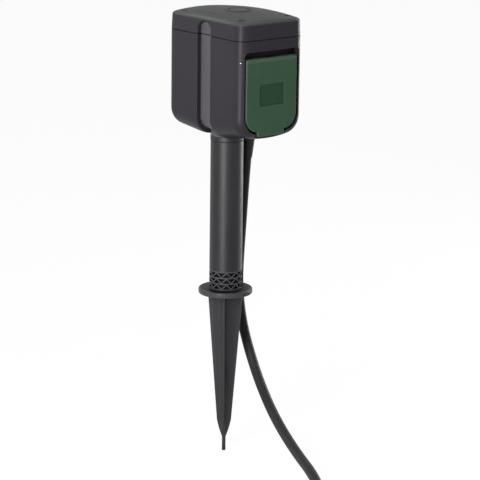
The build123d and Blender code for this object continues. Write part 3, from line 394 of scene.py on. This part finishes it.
@dataclass(frozen=True)
class Plated(Finish):
    """Turned or stamped metal with a thin plating and fine working lines."""

    roughness: float
    # Drawn coarser than real working lines so that they show.
    line_mm: float = 0.25
    edge_mm: float = 0.15

    # Rays for each look at an edge.
    LOOKS: ClassVar[int] = 4
    # How much glossier and duller the working lines make the plating.
    GLOSSIER: ClassVar[float] = 0.06
    DULLER: ClassVar[float] = 0.1

    def build(self) -> bpy.types.Material:
        """Make the node material.

        Returns:
            The finished material.
        """
        material, shader = new_material(self.name)
        tree = material.node_tree
        where = put(tree, "ShaderNodeTexCoord").outputs["Object"]
        lines = put(tree, "ShaderNodeTexNoise",
                    {"Vector": where, "Scale": 1 / (self.line_mm * MM), "Detail": 2.0})
        gloss = put(tree, "ShaderNodeMapRange",
                    {"Value": lines.outputs[0], "To Min": self.roughness - self.GLOSSIER,
                     "To Max": self.roughness + self.DULLER}).outputs[0]
        soft = put(tree, "ShaderNodeBevel", {"Radius": self.edge_mm * MM}, samples=self.LOOKS)
        colour, gloss = self.lay_patches(tree, where, linear(self.colour), gloss)
        feed(shader.inputs["Base Color"], colour)
        feed(shader.inputs["Metallic"], 1.0)
        feed(shader.inputs["Roughness"], gloss)
        feed(shader.inputs["Normal"], soft.outputs[0])
        return material


FINISHES: dict[str, Finish] = {
    # Glass-filled ABS, spark-eroded mould: dark anthracite with a wide soft sheen.
    "housing_plastic": Moulded("moulded anthracite ABS", "#201e22", "#343136", 0.36),
    # Polypropylene tube, drawn satin: darker than the head, with stronger, longer highlights.
    "pole_plastic": Moulded("drawn anthracite polypropylene", "#141215", "#262527", 0.42,
                            grain_mm=0.4, grain_depth_mm=0.006, specular=0.27),
    # Glass-filled polypropylene: nearly black, with painted shade that darkens the flutes between
    # its ribs, so the ribs look paler.
    "spike_plastic": Moulded("moulded black polypropylene", "#262628", "#363638", 0.36,
                             grain_depth_mm=0.010, specular=0.12, crevice_mm=9.0,
                             crevice_share=0.93),
    # Dyed ABS lid: deep fir green, satin.
    "lid_plastic": Moulded("moulded fir-green ABS", "#293e2e", "#425847", 0.38, edge_share=0.12),
    # Polyamide socket insert: black, semi-matt, painted darker than black polyamide and with deep
    # painted shade in its corners, for the shade behind the lid.
    "insert_plastic": Moulded("moulded black polyamide", "#0c0c0d", "#19191a", 0.5,
                              crevice_share=0.8),
    # Button cap: the crown's grey-green, and as dull; that grey-green copies the crown's painted
    # top light.
    "button_plastic": Moulded("moulded grey-green ABS", "#414342", "#545655", 0.62),
    # Nitrile gasket and seals: dull black.
    "soft_rubber": Moulded("moulded nitrile rubber", "#121212", "#202020", 0.62,
                           grain_depth_mm=0.008, specular=0.1),
    # Rubber-sheathed lead: dull black with a soft sheen along its length.
    "cord_rubber": Moulded("extruded rubber sheath", "#232324", "#363637", 0.45,
                           grain_mm=0.8, grain_depth_mm=0.01, edge_share=0.0),
    # Plug moulded from the same rubber: a touch darker than the lead.
    "plug_rubber": Moulded("moulded plug rubber", "#1d1d1e", "#323233", 0.46),
    # Zinc-plated steel: bright, slightly blue.
    "steel": Plated("zinc-plated steel", "#b9babd", 0.3),
    # Tin bronze contact sleeves: a soft yellow gloss.
    "contact_metal": Plated("stamped tin bronze", "#c0a46a", 0.32),
    # Nickel-plated brass pins: the brightest metal here, and slightly warm.
    "pin_metal": Plated("nickel-plated brass", "#c2beb4", 0.22),
    # Green solder mask over glass laminate: an even satin green.
    "board_laminate": Moulded("solder-masked laminate", "#1f5a35", "#2f7048", 0.35),
    # Blue polyester relay cases: an even satin from the mould.
    "relay_plastic": Moulded("moulded relay case", "#1f4468", "#33587c", 0.35),
    # Tinned sheet over the radio module: pale grey, softer than the plated steel.
    "module_can": Plated("tinned steel can", "#b4b5b4", 0.35),
    # Green polyamide terminal strip: a paler green than the board's, and duller.
    "terminal_plastic": Moulded("moulded terminal block", "#2b6a3f", "#3c7d52", 0.4),
    # Black polyester switch case: soft black with paler edges.
    "switch_plastic": Moulded("moulded switch case", "#1c1c1c", "#2e2e2e", 0.4),
    # Smoked polycarbonate light pipes: smooth and nearly black, with no grain.
    "lens_plastic": Moulded("smoked polycarbonate", "#161716", "#222322", 0.3,
                            grain_depth_mm=0.0),
}


# Sub-assemblies


@dataclass
class Dressing:
    """Keeps the materials, so that each finish is built once."""

    built: dict[Finish, bpy.types.Material] = field(default_factory=dict)

    def material(self, finish: Finish) -> bpy.types.Material:
        """Build a finish once and give it again after that.

        Args:
            finish: The finish.

        Returns:
            Its material.
        """
        if finish not in self.built:
            self.built[finish] = finish.build()
        return self.built[finish]


@dataclass
class SubAssembly(ABC):
    """A group of the part's pieces that are dressed together, with sizes in millimetres."""

    dressing: Dressing

    @property
    @abstractmethod
    def nodes(self) -> list[str]:
        """Name the group's nodes."""

    def own_finishes(self) -> dict[str, Finish]:
        """Give the finish of each piece that differs from its slot's."""
        return {}

    def dress(self) -> None:
        """Put each piece's finish in its material slots."""
        own = self.own_finishes()
        for name in self.nodes:
            material = self.dressing.material(own.get(name, FINISHES[SLOTS[name]]))
            part = frame["nodes"][name]
            part.data.materials.clear()
            part.data.materials.append(material)
            LOG.info("%s: %s", name, material.name)


@dataclass
class Stand(SubAssembly):
    """The ribbed spike with its flange, the lattice collar, the pole and its neck.

    Its patches reach past their pieces by the overlap, which is more than their fade.
    """

    flange_edge: float = 1.6
    flange_skin: float = 0.9
    collar_skin: float = 0.9
    spigot_start: float = 0.5
    overlap: float = 0.7
    fade: float = 0.3

    @property
    def nodes(self) -> list[str]:
        """Name the group's nodes."""
        return ["ground_spike", "lattice_collar", "pole_tube", "neck_sleeve", "neck_nut"]

    def disc(self, radius: float, low_z: float, high_z: float, colour: str,
             roughness: float) -> Patch:
        """Give a round patch about the pole's axis.

        Args:
            radius: Its radius.
            low_z: Where it starts.
            high_z: Where it ends.
            colour: Its colour.
            roughness: Its roughness.

        Returns:
            The patch.
        """
        return Patch((-radius, -radius, low_z), (radius, radius, high_z), self.fade, colour,
                     roughness, Shape.DISC)

    def own_finishes(self) -> dict[str, Finish]:
        """Give the flange its painted light rim, and the flange and the lattice their painted
        dark insides.

        Returns:
            Node name to finish.
        """
        spike, collar = Span.of("ground_spike"), Span.of("lattice_collar")
        flange_r, flange_top = spike.high.x, collar.low.z
        inside_r = collar.high.x - self.collar_skin
        # The rim is painted light as a highlight, and the flange's top is painted dark as shade.
        rim = self.disc(flange_r + self.overlap, -self.overlap, flange_top + self.overlap,
                        "#303033", 0.35)
        top = self.disc(flange_r - self.flange_edge, flange_top - self.flange_skin,
                        flange_top + self.flange_skin, "#040404", 0.5)
        # The spigot inside the lattice is painted dark as shade.
        spigot = self.disc(inside_r, flange_top + self.spigot_start, spike.high.z + self.overlap,
                           "#050505", 0.7)
        # The lattice's inner walls are painted dark as shade too, while its outer ribs catch the
        # light.
        inside = self.disc(inside_r, collar.low.z - self.overlap, collar.high.z + self.overlap,
                           "#080808", 0.6)
        return {
            "ground_spike": replace(FINISHES["spike_plastic"], patches=(rim, top, spigot)),
            # The pole's plastic, moulded paler, so that the ribs stand out from the painted shade
            # inside.
            "lattice_collar": Moulded("moulded lattice polypropylene", "#39373a", "#565458", 0.36,
                                      grain_mm=0.4, grain_depth_mm=0.006, patches=(inside,)),
        }


@dataclass
class Head(SubAssembly):
    """The two-block housing with its crowned cover, screws, lenses and button."""

    floor_half: float = 8.2
    floor_inset: float = 3.1
    floor_drop: float = 9.0
    floor_fade: float = 0.8
    crown_drop: float = 7.5
    crown_fade: float = 2.5

    @property
    def nodes(self) -> list[str]:
        """Name the group's nodes."""
        return ["head_housing", "cover_gasket", "top_cover", "cover_screws", "status_lenses",
                "power_button", "button_spring"]

    def own_finishes(self) -> dict[str, Finish]:
        """Give the housing and the cover the painted light on their channel's floor, and the
        cover the painted top light on its crown.

        Returns:
            Node name to finish.
        """
        housing, cover = Span.of("head_housing"), Span.of("top_cover")
        middle = housing.middle.x
        reach = housing.high.x - middle - self.floor_inset
        # The channel's floor between the two blocks is polished in the mould, not eroded, and is
        # painted lighter as a highlight.
        floor = Patch((middle - reach, -self.floor_half, housing.low.z - 2 * self.floor_fade),
                      (middle + reach, self.floor_half, cover.high.z - self.floor_drop),
                      self.floor_fade, "#3d3b3f", 0.30)
        # The cover's crown has a duller grain than its sides, and is painted lighter and greener
        # as top light.
        crown = Patch((-PAST, -PAST, cover.high.z - self.crown_drop),
                      (PAST, PAST, cover.high.z + 2 * self.crown_fade), self.crown_fade,
                      "#434544", 0.62)
        plastic = FINISHES["housing_plastic"]
        return {
            "head_housing": replace(plastic, patches=(floor,)),
            "top_cover": replace(plastic, name=plastic.name + " cover", patches=(floor, crown)),
            # Near-black screws: dark heads at the bottom of their pockets, far darker than their
            # slot's plated steel.
            "cover_screws": Plated("black-zinc-plated steel", "#1c1c1d", 0.45),
        }


class End(Enum):
    """The two ends of the head, each with the sign of its side along Y."""

    FRONT = -1
    REAR = 1

    def node(self, piece: str) -> str:
        """Name a node of this end."""
        return f"{self.name.lower()}_{piece}"


@dataclass
class Outlet(SubAssembly):
    """One outlet: the insert with its contacts and shutter, and the hinged lid over it."""

    end: End
    field_width: float = 26.6
    field_height: float = 18.7
    field_lift: float = 1.7
    field_fade: float = 0.3
    fold_height: float = 4.0
    fold_fade: float = 0.9
    dot_radius: float = 0.5
    dot_out: float = 0.4
    dot_drop: float = 0.5
    dot_fade: float = 0.25

    @property
    def nodes(self) -> list[str]:
        """Name the group's nodes."""
        return [self.end.node(piece) for piece in
                ("socket_insert", "earth_clips", "shutter", "contact_carrier", "contact_sleeves",
                 "lid", "lid_seal", "hinge_pin", "lid_spring")]

    def lid_finish(self) -> Finish:
        """Give the lid the painted light where its upper edge leans back, and its bare label
        field.

        Returns:
            The lid's finish.
        """
        lid = Span.of(self.end.node("lid"))
        # The lid's upper edge leans back from here, and is painted lighter as the light it
        # catches.
        painted_lid_edge_light = Patch((-PAST, -PAST, lid.high.z - self.fold_height),
                     (PAST, PAST, lid.high.z + 2 * self.fold_fade), self.fold_fade,
                     "#324b38", 0.34)
        # The bare label field sunk in the lid is a tone darker than the lid.
        middle_z = lid.middle.z + self.field_lift
        label = Patch((lid.middle.x - self.field_width / 2, -PAST,
                       middle_z - self.field_height / 2),
                      (lid.middle.x + self.field_width / 2, PAST,
                       middle_z + self.field_height / 2), self.field_fade, "#1b3322", 0.45)
        return replace(FINISHES["lid_plastic"], patches=(painted_lid_edge_light, label))

    def pin_finish(self) -> Finish:
        """Give the hinge pin a dull end with a painted glint on it.

        Returns:
            The pin's finish.
        """
        pin = Span.of(self.end.node("hinge_pin")).middle
        y = pin.y + self.end.value * self.dot_out
        z = pin.z - self.dot_drop
        # Painted highlight: a pale disc on the pin's end stands in for a glint.
        painted_glint = Patch((-PAST, y - self.dot_radius, z - self.dot_radius),
                    (PAST, y + self.dot_radius, z + self.dot_radius), self.dot_fade, "#9a9a9c",
                    shape=Shape.ROD)
        return Plated("turned steel pin", "#242426", 0.45, patches=(painted_glint,))

    def own_finishes(self) -> dict[str, Finish]:
        """Give the lid's and the pin's finishes by node name."""
        return {self.end.node("lid"): self.lid_finish(),
                self.end.node("hinge_pin"): self.pin_finish()}


@dataclass
class Controls(SubAssembly):
    """The board inside the head, with what is soldered to it."""

    @property
    def nodes(self) -> list[str]:
        """Name the group's nodes."""
        return ["push_switch", "circuit_board", "relays", "radio_module", "terminal_block"]


@dataclass
class Lead(SubAssembly):
    """The rubber lead from the gland to its plug, with the rest of its length in a coil.

    Its whole length is in metres and the coil's start angle is in degrees.
    """

    radius: float = 4.5
    ground: float = -147.0
    ground_gap: float = 0.9
    route: tuple[Point, ...] = (
        (23.0, 0.9, 120.0),
        (21.9, 1.9, 99.6),
        (20.7, 3.4, 64.0),
        (24.0, 10.2, 32.0),
        (29.6, 18.6, 0.0),
        (32.4, 16.4, -34.0),
        (32.0, 2.3, -64.2),
        (25.8, -22.1, -89.4),
        (14.8, -55.6, -108.6),
        (0.1, -99.1, -122.7),
        (-19.4, -147.2, -128.2),
    )
    approach: float = 30.0
    coil_x: float = -8.0
    coil_y: float = -235.5
    coil_r: float = 47.0
    pitch: float = 9.65
    layer: float = 9.7
    start_angle: float = 155.0
    turns: float = 3.25
    turn_round: float = 0.25
    points_per_turn: int = 24
    plug_tail: float = 9.0
    whole_length: float = 1.27
    steps_per_point: int = 8
    steps_round_section: int = 6

    @property
    def nodes(self) -> list[str]:
        """Name the group's nodes."""
        return ["cable_gland", "gland_locknut", "gland_relief", "power_cord", "cord_coil",
                "cord_tail", "coil_tie", "plug_body", "plug_relief", "plug_pins",
                "plug_earth_strips"]

    def coil_point(self, t: float) -> Vector:
        """Give the point of the coil after some turns.

        The lower layer spirals in and the upper one out again. Where they meet, the spiral
        reverses smoothly and climbs by a layer.

        Args:
            t: Turns from the coil's start.

        Returns:
            The point in millimetres.
        """
        middle = self.turns / 2
        drawn_in = min(t, self.turns - t)
        near = (t - middle) / self.turn_round
        if abs(near) < 1:
            drawn_in = middle - self.turn_round / 2 * (1 + near * near)
        radius = self.coil_r - self.pitch * drawn_in
        climb = min(max((near + 1) / 2, 0), 1)
        climb = climb * climb * (3 - 2 * climb)
        angle = math.radians(self.start_angle) + math.tau * t
        low = self.ground + self.radius + self.ground_gap
        return Vector((self.coil_x + radius * math.cos(angle),
                       self.coil_y + radius * math.sin(angle), low + self.layer * climb))

    def points(self) -> list[Vector]:
        """List the control points of the whole lead.

        Returns:
            The points in millimetres, from the gland's sleeve to the plug's.
        """
        small = 1e-4
        first = self.coil_point(0)
        way_in = (self.coil_point(small) - first).normalized()
        last = self.coil_point(self.turns)
        way_out = (last - self.coil_point(self.turns - small)).normalized()
        straight = 2 * self.radius
        steps = round(self.turns * self.points_per_turn)
        line = [Vector(point) for point in self.route]
        line.append(first - way_in * (straight + self.approach))
        line.append(first - way_in * straight)
        line += [self.coil_point(self.turns * i / steps) for i in range(steps + 1)]
        line.append(last + way_out * straight)
        line.append(last + way_out * (straight + self.plug_tail))
        return line

    def build(self) -> bpy.types.Object:
        """Make the lead as one round NURBS curve.

        Returns:
            The curve object.
        """
        curve = bpy.data.curves.new("supply_lead", "CURVE")
        curve.dimensions = "3D"
        spline = curve.splines.new("NURBS")
        points = self.points()
        spline.points.add(len(points) - 1)
        for target, point in zip(spline.points, points):
            target.co = (*(point * MM), 1.0)
        spline.order_u = 3
        spline.use_endpoint_u = True
        spline.resolution_u = self.steps_per_point
        curve.bevel_depth = self.radius * MM
        curve.bevel_resolution = self.steps_round_section
        curve.use_fill_caps = True
        lead = bpy.data.objects.new("supply_lead", curve)
        bpy.context.scene.collection.objects.link(lead)
        return lead

    def dress(self) -> None:
        super().dress()
        lead = self.build()
        lead.data.materials.append(self.dressing.material(FINISHES["cord_rubber"]))
        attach(lead, MAIN)
        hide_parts("power_cord", "cord_coil", "cord_tail")
        LOG.info("%s: %d control points", lead.name, len(lead.data.splines[0].points))


# Studio


@dataclass(frozen=True)
class Lamp:
    """A rectangular soft lamp out of the camera's sight, with its places in metres."""

    name: str
    place: Point
    aim: Point
    size: tuple[float, float]
    watts: float

    def hang(self) -> bpy.types.Object:
        """Hang the lamp in the studio.

        Returns:
            The lamp object.
        """
        data = bpy.data.lights.new(self.name, "AREA")
        data.shape = "RECTANGLE"
        data.size, data.size_y = self.size
        data.energy = self.watts
        lamp = bpy.data.objects.new(self.name, data)
        way = Vector(self.aim) - Vector(self.place)
        lamp.rotation_euler = way.to_track_quat("-Z", "Y").to_euler()
        lamp.location = self.place
        lamp.visible_camera = False
        bpy.context.scene.collection.objects.link(lamp)
        return lamp


@dataclass
class Studio:
    """Plain white studio with the photograph's camera. Angles are in degrees."""

    azimuth: float = 39.588
    pitch: float = 13.665
    roll: float = 0.734
    place: Point = (-1.30711, -1.60014, 0.55030)
    focal_px: float = 2404.98
    frame_px: float = 480.0
    sensor_mm: float = 36.0
    nearest: float = 0.05
    ambient: float = 0.14
    floor_z: float = -0.147
    floor_reach: float = 6.0
    floor_glow: float = 0.95
    lamps: tuple[Lamp, ...] = (
        # Left of the camera, for the line of light down the pole.
        Lamp("key strip", (-0.86, -0.45, 0.36), (0, 0, 0.36), (0.34, 0.98), 22),
        # Behind on the left, for the long side of the head.
        Lamp("side box", (-0.8, 1.3, 0.5), (0, 0, 0.3), (0.3, 1.1), 3),
        # Behind on the right, for the light edge down the pole.
        Lamp("rim strip", (1.1, 0.02, 0.36), (0, 0, 0.36), (0.2, 0.98), 11),
        # Right of the camera, for the lid.
        Lamp("low box", (1.0, -1.25, 0.33), (0, 0, 0.2), (0.8, 0.3), 1.5),
        # Above, for the cover.
        Lamp("top box", (-0.2, 0.3, 1.9), (0, 0, 0.1), (1.2, 1.2), 10),
    )

    def camera(self) -> bpy.types.Object:
        """Place the camera at the photograph's viewpoint.

        Returns:
            The camera object.
        """
        data = bpy.data.cameras.new("camera")
        data.sensor_width = self.sensor_mm
        data.sensor_height = self.sensor_mm
        data.lens = self.focal_px / self.frame_px * self.sensor_mm
        data.clip_start = self.nearest
        camera = bpy.data.objects.new("camera", data)
        turn = (Matrix.Rotation(-math.radians(self.azimuth), 4, "Z")
                @ Matrix.Rotation(math.radians(90 - self.pitch), 4, "X")
                @ Matrix.Rotation(math.radians(self.roll), 4, "Z"))
        camera.matrix_world = Matrix.Translation(self.place) @ turn
        bpy.context.scene.collection.objects.link(camera)
        bpy.context.scene.camera = camera
        return camera

    def world(self) -> None:
        """Give an even grey light, and white wherever the background is seen."""
        world = bpy.data.worlds.new("studio")
        bpy.context.scene.world = world
        world.use_nodes = True
        tree = world.node_tree
        tree.nodes.clear()
        level = put(tree, "ShaderNodeMapRange",
                    {"Value": background_rays(tree), "To Min": self.ambient, "To Max": 1.0})
        light = put(tree, "ShaderNodeBackground",
                    {"Color": WHITE, "Strength": level.outputs[0]})
        put(tree, "ShaderNodeOutputWorld", {"Surface": light.outputs[0]})

    def floor(self) -> bpy.types.Object:
        """Lay a white floor that keeps the shadow.

        Returns:
            The floor object.
        """
        mesh = bpy.data.meshes.new("floor")
        form = bmesh.new()
        bmesh.ops.create_grid(form, x_segments=1, y_segments=1, size=self.floor_reach,
                              matrix=Matrix.Translation((0, 0, self.floor_z)))
        form.to_mesh(mesh)
        form.free()
        floor = bpy.data.objects.new("floor", mesh)
        bpy.context.scene.collection.objects.link(floor)
        # Matt white paper: no gloss, nearly the background's white.
        material, shader = new_material("white paper")
        tree = material.node_tree
        feed(shader.inputs["Base Color"], linear("#f3f3f3"))
        feed(shader.inputs["Roughness"], 0.9)
        glow = put(tree, "ShaderNodeEmission", {"Color": WHITE, "Strength": 1.0})
        share = put(tree, "ShaderNodeMath", {0: background_rays(tree), 1: self.floor_glow},
                    operation="MULTIPLY")
        blend = put(tree, "ShaderNodeMixShader", {0: share.outputs[0], 1: shader.outputs[0],
                                                  2: glow.outputs[0]})
        feed(tree.nodes["Material Output"].inputs["Surface"], blend.outputs[0])
        mesh.materials.append(material)
        return floor

    def build(self) -> None:
        """Set up the camera, world, floor and lamps."""
        bpy.context.scene.view_settings.view_transform = "Standard"
        self.camera()
        self.world()
        self.floor()
        for lamp in self.lamps:
            lamp.hang()


def main() -> None:
    """Build the scene's classes in order."""
    logging.basicConfig(level=logging.INFO, format="%(message)s")
    Studio().build()
    dressing = Dressing()
    for group in (Stand(dressing), Head(dressing), Outlet(dressing, End.FRONT),
                  Outlet(dressing, End.REAR), Controls(dressing), Lead(dressing)):
        group.dress()


if __name__ == "__main__":
    main()
